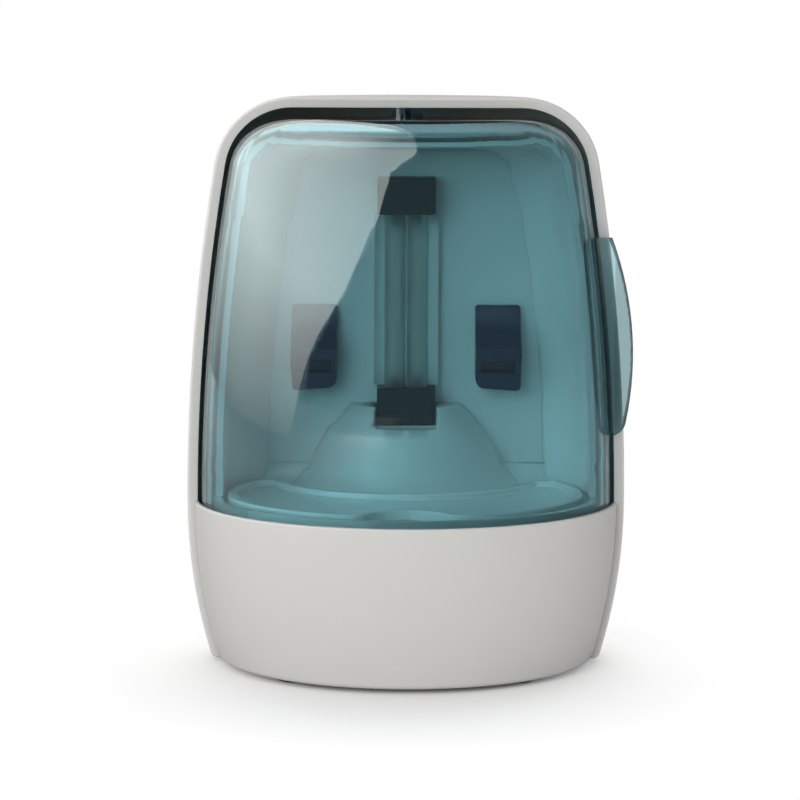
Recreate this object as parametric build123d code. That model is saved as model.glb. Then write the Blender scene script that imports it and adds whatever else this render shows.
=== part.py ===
"""Pacifier steriliser cabinet: a round-plan case with a turning clear door.

The case is two white mouldings, a tall back shell and a bowl-shaped base front. The clear
door is a half round shell that turns about the upright centre line and slides between the
back shell and the round core of the chamber. Everything round follows one outline, moved
in by the walls and gaps that lie outside it.

Frame: +X to the right seen from the front, +Y to the back, +Z up. The origin is on the
floor, on the axis that the door turns about. All lengths are in millimetres.
"""
from build123d import *
import os
from math import atan2, cos, degrees, pi, radians, sin, sqrt

os.makedirs("parts", exist_ok=True)

# ------------------------------------------------------------- case outline
case_radius = 43.0        # at the lip, where the case is widest
case_top = 110.9
case_shoulder = 15.0      # radius of the arc between side and top
side_arc = 400.0          # bow of the side above the lip
base_arc = 105.0          # bow of the side below the lip
lip_height = 32.0         # top edge of the base front
foot_height = 0.8         # underside of the case above the floor
base_edge = 1.4           # rounding round the underside
rim_y = -4.5              # front face of the rim
rim_edge = 0.5            # rounding of the rim's outer edge
lip_edge = 0.4            # rounding of the front's upper edge
shell_wall = 1.9
front_wall = 1.8
front_step = 1.35         # base front lies this far inside the rim's outline

# ------------------------------------------------------------- clearances
running_gap = 0.05        # pin in its hole
seat_gap = 0.15           # fixed pieces that slip into each other
door_gap = 0.6            # door to the shell outside it
core_gap = 0.9            # door to the core inside it
free_gap = 0.4            # other moving faces

# ------------------------------------------------------------- door
door_wall = 2.0
door_headroom = 1.9         # between the door's top and the shell above it
door_shoulder = 11.0
door_bottom = 28.9
door_sweep = 184.0        # degrees of turn that the door covers
hub_radius = 7.0
boss_radius = 3.15
pivot_radius = 1.5
pivot_depth = 1.1         # pivot pin in the shell's top wall
handle_angle = 8.7        # degrees in front of the door's leading edge
handle_proud = 1.6          # its outermost point beyond the case
handle_arc = 65.0
handle_mid = 60.8         # height of the outermost point
handle_low = 45.4
handle_high = 84.0
handle_corner = 3.0
handle_thick = 2.0
handle_edge = 0.6
magnet_size = (1.2, 6.0, 2.6)

# ------------------------------------------------------------- floor deck and chamber
deck_low = 27.0           # underside of the deck, on the shells' ledges
deck_wall = 1.5
ledge_width = 2.6
ledge_height = 1.5
plinth_step = 0.2          # plinth wider than the core cover on it
plinth_wall = 1.4
plinth_top = 33.0
floor_top = 31.5
core_wall = 1.4
wall_y = 22.0             # front face of the chamber's back wall
back_wall = 1.5
cove = 5.0                # rounding between floor and back wall
boss_foot = 25.5          # boss under the lamp: radius at the floor
boss_flare = (20.0, 36.5)  # radius and height where its foot has curved up
boss_shoulder = (16.6, 42.8)
boss_crown = (11.3, 48.6)
boss_round = 1.2          # rounding of its top edge

# ------------------------------------------------------------- tray
tray_back = 16.0
tray_top = 33.6
tray_rim = 2.0
tray_dish = 1.1
tray_gap = 0.05           # under the tray
tray_clear = 0.9          # to the wall round it, at the end of its lift
scallop_width = 15.7
scallop_depth = 8.2
scallop_corner = 3.5
tray_travel = 12.0        # lift at which it is clear of the plinth and can be tipped out

# ------------------------------------------------------------- lamp
cap_width = 11.8
cap_depth = 8.5
cap_height = 7.4
cap_corner = 0.8
lamp_low = 44.9           # underside of the lower cap
lamp_headroom = 8.3        # between the upper cap and the chamber's ceiling
tube_radius = 2.15
tube_wall = 0.5
tube_pitch = 4.5
tube_stand = 4.6          # tube axis in front of the wall
tube_seat = 3.0           # length of tube inside a cap
electrode_radius = 0.9
electrode_length = 5.5
reflector_flat = 4.6      # half width of the flat strip
reflector_half = 6.6      # half width over the bent sides
reflector_rise = 1.7
reflector_sheet = 0.5
cap_peg = 2.0             # radius of the peg through the back wall

# ------------------------------------------------------------- hooks
hook_x = 18.8
hook_width = 9.4
hook_low = 51.7
hook_high = 68.6
hook_plate = 1.6
hook_reach = 8.0
hook_side = 1.3
hook_slant = 0.6          # its lower edge rises this much towards the lamp
hook_corner = 0.8
hook_round = 2.0          # lower corner on the side of the lamp
hook_edge = 0.4
hood_low = 57.7           # lower edge of the hood, above the slot
hood_crown = 60.1         # where the hood's top starts to curve
hood_sink = 0.7           # hollow of that top, below a straight slope
jaw_reach = 5.5           # part below the slot
jaw_high = 55.3

# ------------------------------------------------------------- screws and posts
screw_shank = 1.2
screw_hole = 1.3
screw_wall = 1.1          # plastic round a screw's hole or head
head_radius = 2.2
head_height = 1.5
head_slot = 0.5
post_radius = 3.0
post_y = 11.0             # two of the posts in front of the axis, two behind
post_clear = 0.4          # posts to the wall of the cell bay
rib_thick = 1.2
base_screw_length = 9.0
deck_screw_length = 8.0
core_screw_length = 10.0
hook_screw_length = 5.0
hook_screw_rise = 2.4      # above the hood's crown
cover_screw_length = 6.0
core_post_radius = 2.4
core_post_inset = 2.0      # axes of the core's posts inside its wall
core_post_height = 9.0
core_post_angles = (52.0, 90.0, 128.0)

# ------------------------------------------------------------- base plate and cells
plate_thick = 2.0
cell_radius = 5.25
cell_length = 44.5
cell_pitch = 10.9
cell_count = 3
cell_nub = 1.9
cell_nub_height = 0.6
contact_space = 2.4       # at each end of the cells
contact_sheet = 0.4
contact_pip = 1.5         # radius of the dimple that meets the cell's nub
contact_width = 7.0
contact_height = 8.0
spring_wide = 2.6         # outer radius of the coned spring on its plate
spring_tip = 1.4
spring_wire = 0.6
bay_wall = 1.2
cover_thick = 1.2
cover_lap = 1.0           # cover over the edge of the bay
cover_tongue = 3.6        # half width of the tongue that takes the screw
cover_tongue_reach = 6.0
grip_pitch = 2.0          # ribs of the cover's thumb grip
grip_groove = 0.8
foot_radius = 4.0
foot_inset = 12.6          # feet's middles inside the case's outline
foot_clear = 0.6          # foot to the cell cover
foot_sink = 0.9

# ------------------------------------------------------------- electronics
board_thick = 1.4
board_margin = 3.0        # board's edge to its screw posts
drive_half_width = 13.0
drive_low = 44.5
drive_headroom = 23.4      # between the board and the chamber's ceiling
drive_stand = 2.2         # boards stand off the wall by this much
transformer_size = (14.0, 7.0, 12.0)
transformer_z = 54.0
transformer_flange = 1.2
capacitor_radius = 2.5
capacitor_height = 6.0
capacitor_z = (66.0, 73.0)
control_y = 28.0          # front face of the control board
control_half_width = 15.0
control_high = 23.5
clip_size = (4.0, 1.05, 5.0)  # ears on the base plate that hold the control board
switch_size = (6.0, 3.4, 6.0)
switch_floor = 0.6
plunger_radius = 1.6
button_z = 14.0
button_radius = 5.0
button_flange = 6.2
button_flange_thick = 1.2
button_proud = 0.5
button_travel = 0.7
inlet_x = 11.5
inlet_width = 7.0
inlet_height = 6.4
inlet_bore = 1.75
inlet_window = 3.3
reed_radius = 1.1
reed_wire = 0.3
reed_lead = 3.0           # bare wire at each end
reed_shelf = (3.4, 6.0, 1.0)
reed_length = 13.0
reed_clear = 0.7          # to the plinth's wall
reed_z = 28.6

BIG = 400.0               # side of the blocks that cut solids in two

# ============================================================= outline helpers


def side_x(z, inset):
    """Radius of the case's outline at height z, moved in by inset."""
    arc = side_arc if z > lip_height else base_arc
    return case_radius - arc + sqrt((arc - inset) ** 2 - (z - lip_height) ** 2)


def side_edges(high, low, inset):
    """The outline from height high down to low, as tangent arcs."""
    stops = [high, lip_height, low] if high > lip_height > low else [high, low]
    edges = []
    for upper, lower in zip(stops, stops[1:]):
        middle = (upper + lower) / 2
        points = [(side_x(z, inset), z) for z in (upper, middle, lower)]
        edges.append(ThreePointArc(*points))
    return edges


def turn_solid(edges):
    """Turns a closed chain of edges, drawn as radius and height, about the Z axis."""
    return revolve(Plane.XZ * make_face(edges), Axis.Z)


def bowl(inset, low, high):
    """Solid under the outline between two heights, moved in by inset."""
    upper, lower = (side_x(high, inset), high), (side_x(low, inset), low)
    edges = side_edges(high, low, inset)
    edges += [Line(lower, (0, low)), Line((0, low), (0, high)), Line((0, high), upper)]
    return turn_solid(edges)


def dome_edges(inset, top, shoulder, low):
    """Outline from the axis over a flat top and a round shoulder, and down to low."""
    side_centre = case_radius - side_arc
    shoulder_z = top - shoulder
    reach = side_arc - inset - shoulder
    shoulder_x = side_centre + sqrt(reach**2 - (shoulder_z - lip_height) ** 2)
    turn = atan2(shoulder_z - lip_height, shoulder_x - side_centre)

    def on_shoulder(angle):
        return (shoulder_x + shoulder * cos(angle), shoulder_z + shoulder * sin(angle))

    join = on_shoulder(turn)
    crown = ThreePointArc((shoulder_x, top), on_shoulder((turn + pi / 2) / 2), join)
    return [Line((0, top), (shoulder_x, top)), crown] + side_edges(join[1], low, inset)


def dome(inset, top, shoulder, low):
    """Solid under the whole outline, moved in by inset, with its own top and shoulder."""
    edges = dome_edges(inset, top, shoulder, low)
    edges += [Line((side_x(low, inset), low), (0, low)), Line((0, low), (0, top))]
    return turn_solid(edges)


def behind(solid, y):
    """The part of a solid that lies behind y."""
    return solid & Pos(0, y + BIG / 2, 0) * Box(BIG, BIG, BIG)


def before(solid, y):
    """The part of a solid that lies in front of y."""
    return solid & Pos(0, y - BIG / 2, 0) * Box(BIG, BIG, BIG)


def rod(x, y, low, high, radius):
    """Upright cylinder between two heights."""
    return Pos(x, y, (low + high) / 2) * Cylinder(radius, high - low)


def bar(x, z, front, back, radius):
    """Cylinder along Y between two depths."""
    return Pos(x, (front + back) / 2, z) * Rot(90, 0, 0) * Cylinder(radius, back - front)


def block(x, y, z):
    """Box from three pairs of limits."""
    size = [high - low for low, high in (x, y, z)]
    middle = [(high + low) / 2 for low, high in (x, y, z)]
    return Pos(*middle) * Box(*size)


def screw(length):
    """Pan screw that points up, with the underside of its head at the origin."""
    head = Pos(0, 0, -head_height / 2) * Cylinder(head_radius, head_height)
    shank = Pos(0, 0, length / 2) * Cylinder(screw_shank, length)
    slot = Box(head_radius * 1.3, head_slot, head_height)
    cross = slot + Rot(0, 0, 90) * slot
    return head + shank - Pos(0, 0, -head_height) * cross


def group(solids):
    return Compound(children=list(solids))


# sizes that follow from the ones above
door_top = case_top - shell_wall - door_headroom
handle_reach = case_radius + handle_proud
core_inset = shell_wall + door_gap + door_wall + core_gap
core_top = door_top - door_wall - core_gap
core_shoulder = door_shoulder - door_wall - core_gap
door_inset = shell_wall + door_gap
ceiling = core_top - core_wall
plinth_radius = case_radius - core_inset + plinth_step
reed_x = reed_radius + reed_clear + plinth_wall - plinth_radius
lip_inner = case_radius - door_inset + free_gap
deck_radius = lip_inner - seat_gap
groove_floor = deck_low + deck_wall
front_inset = front_step + front_wall
lamp_high = ceiling - lamp_headroom          # top of the upper cap
drive_high = ceiling - drive_headroom
core_post_reach = case_radius - core_inset - core_wall - core_post_inset
plate_low = foot_height
plate_high = plate_low + plate_thick
tray_radius = side_x(tray_top + tray_travel, core_inset + core_wall) - tray_clear
scallop_radius = (scallop_width**2 / 4 + scallop_depth**2) / (2 * scallop_depth)
bay_x = cell_length / 2 + contact_space
post_x = bay_x + bay_wall + post_radius + post_clear
posts = [(x, y) for x in (-post_x, post_x) for y in (-post_y, post_y)]
bay_y = cell_pitch * (cell_count - 1) / 2 + cell_radius + free_gap
foot_y = bay_y + cover_lap + foot_radius + foot_clear
foot_x = sqrt((case_radius - foot_inset) ** 2 - foot_y**2)
feet = [(x, y) for x in (-foot_x, foot_x) for y in (-foot_y, foot_y)]
tubes = (-tube_pitch / 2, tube_pitch / 2)
tube_y = wall_y - tube_stand


def shell_post(x, y, inset, high):
    """Screw post that stands beside a shell's wall, with the rib that ties it there."""
    radius = sqrt(x**2 + y**2)
    turn = Rot(0, 0, degrees(atan2(y, x)))
    rib = turn * block((radius, case_radius), (-rib_thick / 2, rib_thick / 2), (plate_high, high))
    post = rod(x, y, plate_high, high, post_radius)
    return (rib & bowl(inset, plate_low, lip_height)) + post


def post_holes(x, y, high):
    """Pilot holes for the base screw below and the deck screw above."""
    lower = rod(x, y, plate_high, plate_high + base_screw_length, screw_hole)
    upper = rod(x, y, high - deck_screw_length, high, screw_hole)
    return lower + upper


# ============================================================= white shells
# Back shell: rim, back half of the base and the dome that takes the open door. Its ledge
# carries the floor deck, and the top wall holds the door's upper pivot.


def make_back_shell():
    outer = dome(0, case_top, case_shoulder, foot_height)
    inner = dome(shell_wall, case_top - shell_wall, case_shoulder - shell_wall, foot_height)
    outer = behind(outer, rim_y)
    foot = outer.edges().group_by(Axis.Z)[0].filter_by(GeomType.LINE, reverse=True)
    outer = fillet(foot, base_edge)
    rim = outer.faces().sort_by(Axis.Y)[0]
    shell = fillet(rim.edges().sort_by(Axis.Z)[1:], rim_edge) - inner
    ring = bowl(shell_wall / 2, deck_low - ledge_height, deck_low)
    ring -= rod(0, 0, 0, lip_height, deck_radius - ledge_width)
    shell += behind(ring, rim_y)
    for x, y in posts:
        if y > rim_y:
            shell += shell_post(x, y, shell_wall / 2, deck_low)
            shell -= post_holes(x, y, deck_low)
    shell -= rod(0, 0, case_top - shell_wall - 1, case_top - shell_wall + pivot_depth + seat_gap,
                 pivot_radius + running_gap)
    shell -= bar(0, button_z, rim_y + case_radius / 2, case_radius + 1, button_radius + free_gap / 2)
    shell -= bar(inlet_x, button_z, rim_y + case_radius / 2, case_radius + 1, inlet_window)
    return shell


# Base front: a bowl whose thin lip stands in front of the door's lower edge. A tongue on
# each side slips inside the back shell and lines the two up.


def make_base_front():
    outer = bowl(front_step, foot_height, lip_height)
    outer = fillet(outer.edges().group_by(Axis.Z)[0], base_edge)
    outer = fillet(outer.edges().group_by(Axis.Z)[-1], lip_edge)
    shell = outer - bowl(front_inset, foot_height, deck_low)
    shell -= rod(0, 0, deck_low, lip_height, lip_inner)
    ring = bowl(front_step + front_wall / 2, deck_low - ledge_height, deck_low)
    ring -= rod(0, 0, 0, lip_height, deck_radius - ledge_width)
    shell = before(shell + ring, rim_y - seat_gap)
    tongue_inset = shell_wall + seat_gap
    tongue_low, tongue_high = plate_high + 2, deck_low - ledge_height - 1
    tongue = bowl(tongue_inset, tongue_low, tongue_high)
    tongue -= bowl(front_inset + 1.0, tongue_low, tongue_high)
    shell += before(behind(tongue, rim_y - 4), rim_y + 2.5)
    for x, y in posts:
        if y < rim_y:
            shell += shell_post(x, y, front_step + front_wall / 2, deck_low)
            shell -= post_holes(x, y, deck_low)
    return shell


# ============================================================= door
# One clear moulding: a half round wall with a flat top, the pivot boss on its hub, and a
# crescent handle that stops against the rim at both ends of the travel.


def make_door():
    outer = dome_edges(door_inset, door_top, door_shoulder, door_bottom)
    inner_inset = door_inset + door_wall
    inner_top = door_top - door_wall
    inner = dome_edges(inner_inset, inner_top, door_shoulder - door_wall, door_bottom)
    foot = Line((side_x(door_bottom, door_inset), door_bottom),
                (side_x(door_bottom, inner_inset), door_bottom))
    axis_edge = Line((0, door_top), (0, inner_top))
    section = Plane.XZ * make_face(outer + inner + [foot, axis_edge])
    wall = Rot(0, 0, -door_sweep) * revolve(section, Axis.Z, door_sweep)
    boss_top = case_top - shell_wall - free_gap / 2
    wall += rod(0, 0, inner_top, door_top, hub_radius)
    wall += rod(0, 0, inner_top, boss_top, boss_radius)
    wall += rod(0, 0, inner_top, case_top - shell_wall + pivot_depth, pivot_radius)
    wall += make_handle(inner_inset, inner_top)
    return wall - magnet_place()


def make_handle(inner_inset, inner_top):
    """Crescent fin in an upright plane through the axis, just in front of the rim."""
    root = side_x(handle_high, door_inset) - door_wall / 2
    centre = handle_reach - handle_arc

    def on_arc(z):
        return (centre + sqrt(handle_arc**2 - (z - handle_mid) ** 2), z)

    edges = [
        ThreePointArc(on_arc(handle_low), (handle_reach, handle_mid), on_arc(handle_high)),
        Line(on_arc(handle_high), (root, handle_high)),
        Line((root, handle_high), (root, handle_low)),
        Line((root, handle_low), on_arc(handle_low)),
    ]
    crescent = make_face(edges)
    crescent = fillet(crescent.vertices().group_by(Axis.X)[-1], handle_corner)
    fin = extrude(Plane.XZ * crescent, handle_thick / 2, both=True)
    outline = fin.edges().filter_by(GeomType.CIRCLE).filter_by(lambda edge: edge.center().X > root + 2)
    fin = fillet(outline, handle_edge)
    fin -= dome(inner_inset, inner_top, door_shoulder - door_wall, door_bottom)
    return Rot(0, 0, -handle_angle) * fin


def magnet_place():
    """Pocket in the door's lower edge, on the side away from the handle."""
    radial, along, high = magnet_size
    middle = side_x(door_bottom, door_inset) - door_wall / 2
    return block((-middle - radial / 2, -middle + radial / 2), (-along / 2, along / 2),
                 (door_bottom, door_bottom + high))


# ============================================================= chamber
# Liner: floor deck with the door's groove round its plinth, flat back wall, and the round
# boss under the lamp.


def make_liner():
    core_inner = core_inset + core_wall
    deck = rod(0, 0, deck_low, groove_floor, deck_radius)
    deck += rod(0, 0, deck_low, plinth_top, plinth_radius)
    inner = plinth_radius - plinth_wall
    deck -= rod(0, 0, deck_low, floor_top - deck_wall, inner)
    deck -= rod(0, 0, floor_top, plinth_top, inner)
    space = dome(core_inner + seat_gap, core_top - core_wall - seat_gap,
                 core_shoulder - core_wall - seat_gap, lip_height - 3)
    space &= rod(0, 0, 0, case_top, inner - seat_gap)
    wall = block((-BIG / 2, BIG / 2), (wall_y, wall_y + back_wall), (floor_top - deck_wall, BIG))
    corner = block((-BIG / 2, BIG / 2), (wall_y - cove, wall_y + back_wall),
                   (floor_top - deck_wall, floor_top + cove))
    corner -= Pos(0, wall_y - cove, floor_top + cove) * Rot(0, 90, 0) * Cylinder(cove, BIG)
    foot = (boss_foot, floor_top)
    slope = (boss_shoulder[0] - boss_flare[0], boss_shoulder[1] - boss_flare[1])
    outline = [
        TangentArc(boss_flare, foot, tangent=(-slope[0], -slope[1])),
        Line(boss_flare, boss_shoulder),
        Line(boss_shoulder, boss_crown),
        Line(boss_crown, (0, boss_crown[1])),
        Line((0, boss_crown[1]), (0, floor_top)),
        Line((0, floor_top), foot),
    ]
    boss = turn_solid(outline)
    boss = fillet(boss.edges().group_by(Axis.Z)[-1], boss_round)
    boss = before(Pos(0, wall_y, 0) * boss, wall_y + back_wall / 2)
    boss -= block((-cap_width / 2 - seat_gap, cap_width / 2 + seat_gap), (-BIG / 2, wall_y),
                  (lamp_low - seat_gap, BIG))
    liner = deck + ((wall + corner + boss) & space)
    for x, y in posts:
        liner += rod(x, y, deck_low, floor_top, head_radius + seat_gap + screw_wall)
        liner -= rod(x, y, deck_low, floor_top, screw_hole)
        liner -= rod(x, y, groove_floor, floor_top, head_radius + seat_gap)
    for x, y in core_posts():
        liner += rod(x, y, floor_top - deck_wall, plinth_top, screw_hole + screw_wall - seat_gap / 2)
        liner -= rod(x, y, floor_top - deck_wall, plinth_top, screw_hole)
    for x in (-hook_x, hook_x):
        liner -= bar(x, hook_screw_z, wall_y, wall_y + back_wall, screw_hole)
    for z in cap_middles:
        liner -= bar(0, z, wall_y, wall_y + back_wall, cap_peg + seat_gap)
    for x, z in drive_posts:
        liner += bar(x, z, wall_y + back_wall / 2, wall_y + back_wall + drive_stand, cap_peg)
    width, length, thick = reed_shelf
    shelf_top = reed_z - reed_radius
    liner += block((reed_x - width / 2, reed_x + width / 2), (-length / 2, length / 2),
                   (shelf_top - thick, shelf_top))
    return liner


def core_posts():
    """Places of the posts that hold the core cover down."""
    return [(core_post_reach * cos(radians(a)), core_post_reach * sin(radians(a)))
            for a in core_post_angles]


hook_screw_z = hood_crown + hook_screw_rise
cap_middles = (lamp_low + cap_height / 2, lamp_high - cap_height / 2)
drive_posts = [(x, z) for x in (board_margin - drive_half_width, drive_half_width - board_margin)
               for z in (drive_low + board_margin, drive_high - board_margin)]


# Core cover: side walls and ceiling of the chamber in one round moulding. The open door
# lies round it. It stands on the plinth and is screwed down from below.


def make_core_cover():
    outer = dome(core_inset, core_top, core_shoulder, plinth_top)
    inner = dome(core_inset + core_wall, core_top - core_wall, core_shoulder - core_wall,
                 plinth_top)
    cover = behind(outer - inner, rim_y + free_gap)
    for x, y in core_posts():
        post = rod(x, y, plinth_top, plinth_top + core_post_height, core_post_radius)
        cover += post & outer
        cover -= rod(x, y, plinth_top, plinth_top + core_screw_length - 2 * deck_wall, screw_hole)
    return cover


# Tray: a shallow dish that lifts off the floor, cut round the boss, with a finger
# scallop in its front edge.


def tray_outline(inset):
    """Plan of the tray, moved in by inset."""
    plan = Circle(tray_radius - inset)
    plan &= Pos(0, tray_back - inset - BIG / 2) * Rectangle(BIG, BIG)
    plan -= Pos(0, wall_y) * Circle(boss_foot + free_gap + inset)
    scallop_y = -tray_radius + scallop_depth - scallop_radius
    plan -= Pos(0, scallop_y) * Circle(scallop_radius + inset)
    corners = plan.vertices().filter_by(lambda corner: corner.Y < 0)
    return fillet(corners, scallop_corner - inset)


def make_tray():
    low = floor_top + tray_gap
    tray = Pos(0, 0, low) * extrude(tray_outline(0), tray_top - low)
    tray -= Pos(0, 0, tray_top - tray_dish) * extrude(tray_outline(tray_rim), tray_dish)
    return tray


# ============================================================= lamp


def make_cap(middle, inward):
    """Lamp cap with the seats of the two tubes. inward is +1 where they lie above it."""
    front = wall_y - cap_depth
    cap = block((-cap_width / 2, cap_width / 2), (front, wall_y),
                (middle - cap_height / 2, middle + cap_height / 2))
    cap = fillet(cap.edges().filter_by(Axis.Z).group_by(Axis.Y)[0], cap_corner)
    cap += bar(0, middle, wall_y - 1, wall_y + back_wall + 1, cap_peg)
    face = middle + inward * cap_height / 2
    for x in tubes:
        depths = sorted((face, face - inward * tube_seat))
        cap -= rod(x, tube_y, *depths, tube_radius + running_gap)
    return cap


def make_tubes():
    low = lamp_low + cap_height - tube_seat
    high = lamp_high - cap_height + tube_seat
    bores = tube_radius - tube_wall
    return group(rod(x, tube_y, low, high, tube_radius) - rod(x, tube_y, low, high, bores)
                 for x in tubes)


def make_electrodes():
    low = lamp_low + cap_height - tube_seat
    high = lamp_high - cap_height + tube_seat
    ends = [(low, low + electrode_length), (high - electrode_length, high)]
    return group(rod(x, tube_y, *end, electrode_radius) for x in tubes for end in ends)


def make_reflector():
    """Bright strip behind the tubes, with its long sides bent forward."""
    back = wall_y
    outer = [(-reflector_half, back - reflector_rise), (-reflector_flat, back),
             (reflector_flat, back), (reflector_half, back - reflector_rise)]
    inner = [(reflector_half, back - reflector_rise - reflector_sheet),
             (reflector_flat - reflector_sheet / 2, back - reflector_sheet),
             (reflector_sheet / 2 - reflector_flat, back - reflector_sheet),
             (-reflector_half, back - reflector_rise - reflector_sheet)]
    section = make_face(Polyline(*outer, *inner, close=True))
    low = lamp_low + cap_height + seat_gap
    high = lamp_high - cap_height - seat_gap
    return Pos(0, 0, low) * extrude(section, high - low)


# ============================================================= hooks
# A holder on the back wall: a hood that sweeps forward from its top, a jaw below, and a slot
# between them that leads into a pocket. The pacifier's ring goes in there.


def make_hook(x):
    front = wall_y - hook_reach
    jaw = wall_y - jaw_reach
    back = wall_y - hook_plate
    half = hook_width / 2
    run, rise = back - front, hook_high - hood_crown
    sink = hood_sink / sqrt(run**2 + rise**2)
    middle = (front + run / 2 + sink * rise, hood_crown + rise / 2 - sink * run)
    profile = [
        Line((wall_y, hook_low), (jaw, hook_low)),
        Line((jaw, hook_low), (jaw, jaw_high)),
        Line((jaw, jaw_high), (front, hood_low)),
        Line((front, hood_low), (front, hood_crown)),
        ThreePointArc((front, hood_crown), middle, (back, hook_high)),
        Line((back, hook_high), (wall_y, hook_high)),
        Line((wall_y, hook_high), (wall_y, hook_low)),
    ]
    hook = extrude(Plane.YZ * make_face(profile), half, both=True)
    hook = fillet(hook.edges().filter_by(Axis.X).group_by(Axis.Y)[0], hook_edge)
    plan = make_face(Polyline((-half, hook_low), (half, hook_low + hook_slant),
                              (half, hook_high), (-half, hook_high), close=True))
    inner = plan.vertices().group_by(Axis.X)[-1].sort_by(Axis.Y)[0]
    plan = fillet(inner, hook_round)
    plan = fillet(plan.vertices().filter_by(lambda corner: abs(corner.X) > half - 1e-4
                                            and corner.Y > hook_low + hook_round * 2
                                            or corner.X < -half + 1e-4), hook_corner)
    hook &= extrude(Plane.XZ * plan, BIG / 2, both=True)
    inside = (hook_side - half, half - hook_side)
    hook -= block(inside, (front - 1, back), (jaw_high, hood_low))
    hook -= block(inside, (front + hook_side, back), (jaw_high, hood_crown))
    hook -= bar(0, hook_screw_z, wall_y - hook_screw_length + back_wall, wall_y, screw_hole)
    if x > 0:
        hook = mirror(hook, about=Plane.YZ)
    return Pos(x, 0, 0) * hook


# ============================================================= base plate and cells


cell_z = plate_high + seat_gap + cell_radius
bay_high = cell_z + cell_radius + free_gap
cell_places = [(i - (cell_count - 1) / 2) * cell_pitch for i in range(cell_count)]
cover_screw_x = bay_x + cover_lap + cover_tongue_reach - cover_tongue


def make_base_plate():
    front = before(bowl(front_inset + seat_gap, plate_low, plate_high), rim_y)
    back = behind(bowl(shell_wall + seat_gap, plate_low, plate_high), rim_y)
    plate = front + back
    plate += block((-bay_x - bay_wall, bay_x + bay_wall), (-bay_y - bay_wall, bay_y + bay_wall),
                   (plate_low, bay_high + bay_wall))
    plate += rod(cover_screw_x, 0, plate_low, plate_high + cover_screw_length, post_radius)
    plate -= block((-bay_x, bay_x), (-bay_y, bay_y), (plate_low, bay_high))
    plate -= cover_shape(0)
    plate -= rod(cover_screw_x, 0, plate_low, plate_high + cover_screw_length - 1, screw_hole)
    for x, y in posts:
        plate -= rod(x, y, plate_low, plate_low + head_height, head_radius + seat_gap)
        plate -= rod(x, y, plate_low, plate_high, screw_hole)
    for x, y in feet:
        plate -= rod(x, y, plate_low, plate_low + foot_sink, foot_radius + seat_gap / 3)
    width, thick, high = clip_size
    for x in (-control_half_width, control_half_width):
        for y in (control_y - seat_gap - thick, control_y + board_thick + seat_gap):
            plate += block((x - width / 2, x + width / 2), (y, y + thick),
                           (plate_high - 1, plate_high + high))
    return plate


def cover_shape(gap):
    """Outline of the cell cover in its rebate, smaller by gap all round."""
    half_x = bay_x + cover_lap - gap
    half_y = bay_y + cover_lap - gap
    levels = (plate_low, plate_low + cover_thick)
    cover = block((-half_x, half_x), (-half_y, half_y), levels)
    tongue = cover_tongue - gap
    cover += block((0, cover_screw_x), (-tongue, tongue), levels)
    return cover + rod(cover_screw_x, 0, *levels, tongue)


def make_cover():
    cover = cover_shape(seat_gap)
    cover -= rod(cover_screw_x, 0, plate_low, plate_high, screw_hole)
    cover -= rod(cover_screw_x, 0, plate_low, plate_low + cover_thick / 2, head_radius + seat_gap)
    for step in range(2, 5):
        groove = Box(grip_groove, bay_y, cover_thick / 2)
        cover -= Pos(step * grip_pitch - bay_x, 0, plate_low + cover_thick / 4) * groove
    return cover


def make_cells():
    cells = []
    for number, y in enumerate(cell_places):
        side = 1 if number % 2 else -1
        body = Pos(0, y, cell_z) * Rot(0, 90, 0) * Cylinder(cell_radius, cell_length)
        tip = Rot(0, 90, 0) * Cylinder(cell_nub, 2 * cell_nub_height)
        nub = Pos(side * cell_length / 2, y, cell_z) * tip
        cells.append(body + nub)
    return group(cells)


def make_contacts():
    """Plates at both ends of the bay: a dimple at each plus end, a coned spring at each minus."""
    plates = []
    for number, y in enumerate(cell_places):
        plus = 1 if number % 2 else -1
        for side in (-1, 1):
            outer, inner = side * bay_x, side * (bay_x - contact_sheet)
            sheet = block(sorted((outer, inner)), (y - contact_width / 2, y + contact_width / 2),
                          (cell_z - contact_height / 2, cell_z + contact_height / 2))
            length = contact_space - contact_sheet - seat_gap
            if side == plus:
                length -= cell_nub_height
                touch = Cylinder(contact_pip, length)
            else:
                touch = Cone(spring_wide, spring_tip, length)
                touch -= Cone(spring_wide - spring_wire, spring_tip - spring_wire, length)
            place = Pos(side * (bay_x - contact_sheet - length / 2), y, cell_z)
            plates.append(sheet + place * Rot(0, -90 * side, 0) * touch)
    return group(plates)


def make_feet():
    return group(rod(x, y, 0, plate_low + foot_sink, foot_radius) for x, y in feet)


# ============================================================= electronics


def make_drive_board():
    y = wall_y + back_wall + drive_stand
    return block((-drive_half_width, drive_half_width), (y, y + board_thick), (drive_low, drive_high))


drive_back = wall_y + back_wall + drive_stand + board_thick


def make_transformer():
    width, depth, height = transformer_size
    core = block((-width / 2, width / 2), (drive_back, drive_back + depth),
                 (transformer_z - height / 2, transformer_z + height / 2))
    front = drive_back + transformer_flange
    waist = block((-width / 2, width / 2), (front, drive_back + depth),
                  (transformer_z - height / 4, transformer_z + height / 4))
    winding = bar(0, transformer_z, front, drive_back + depth - running_gap, height / 4 - running_gap)
    return core - waist + winding


def make_capacitors():
    return group(bar(0, z, drive_back, drive_back + capacitor_height, capacitor_radius)
                 for z in capacitor_z)


def make_control_board():
    low = plate_high
    width = control_half_width
    return block((-width, width), (control_y, control_y + board_thick), (low, control_high))


control_back = control_y + board_thick
switch_face = control_back + switch_size[1]


def make_switch():
    width, depth, height = switch_size
    body = block((-width / 2, width / 2), (control_back, switch_face),
                 (button_z - height / 2, button_z + height / 2))
    hole = bar(0, button_z, control_back + switch_floor, switch_face, plunger_radius + running_gap)
    return body - hole


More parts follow.
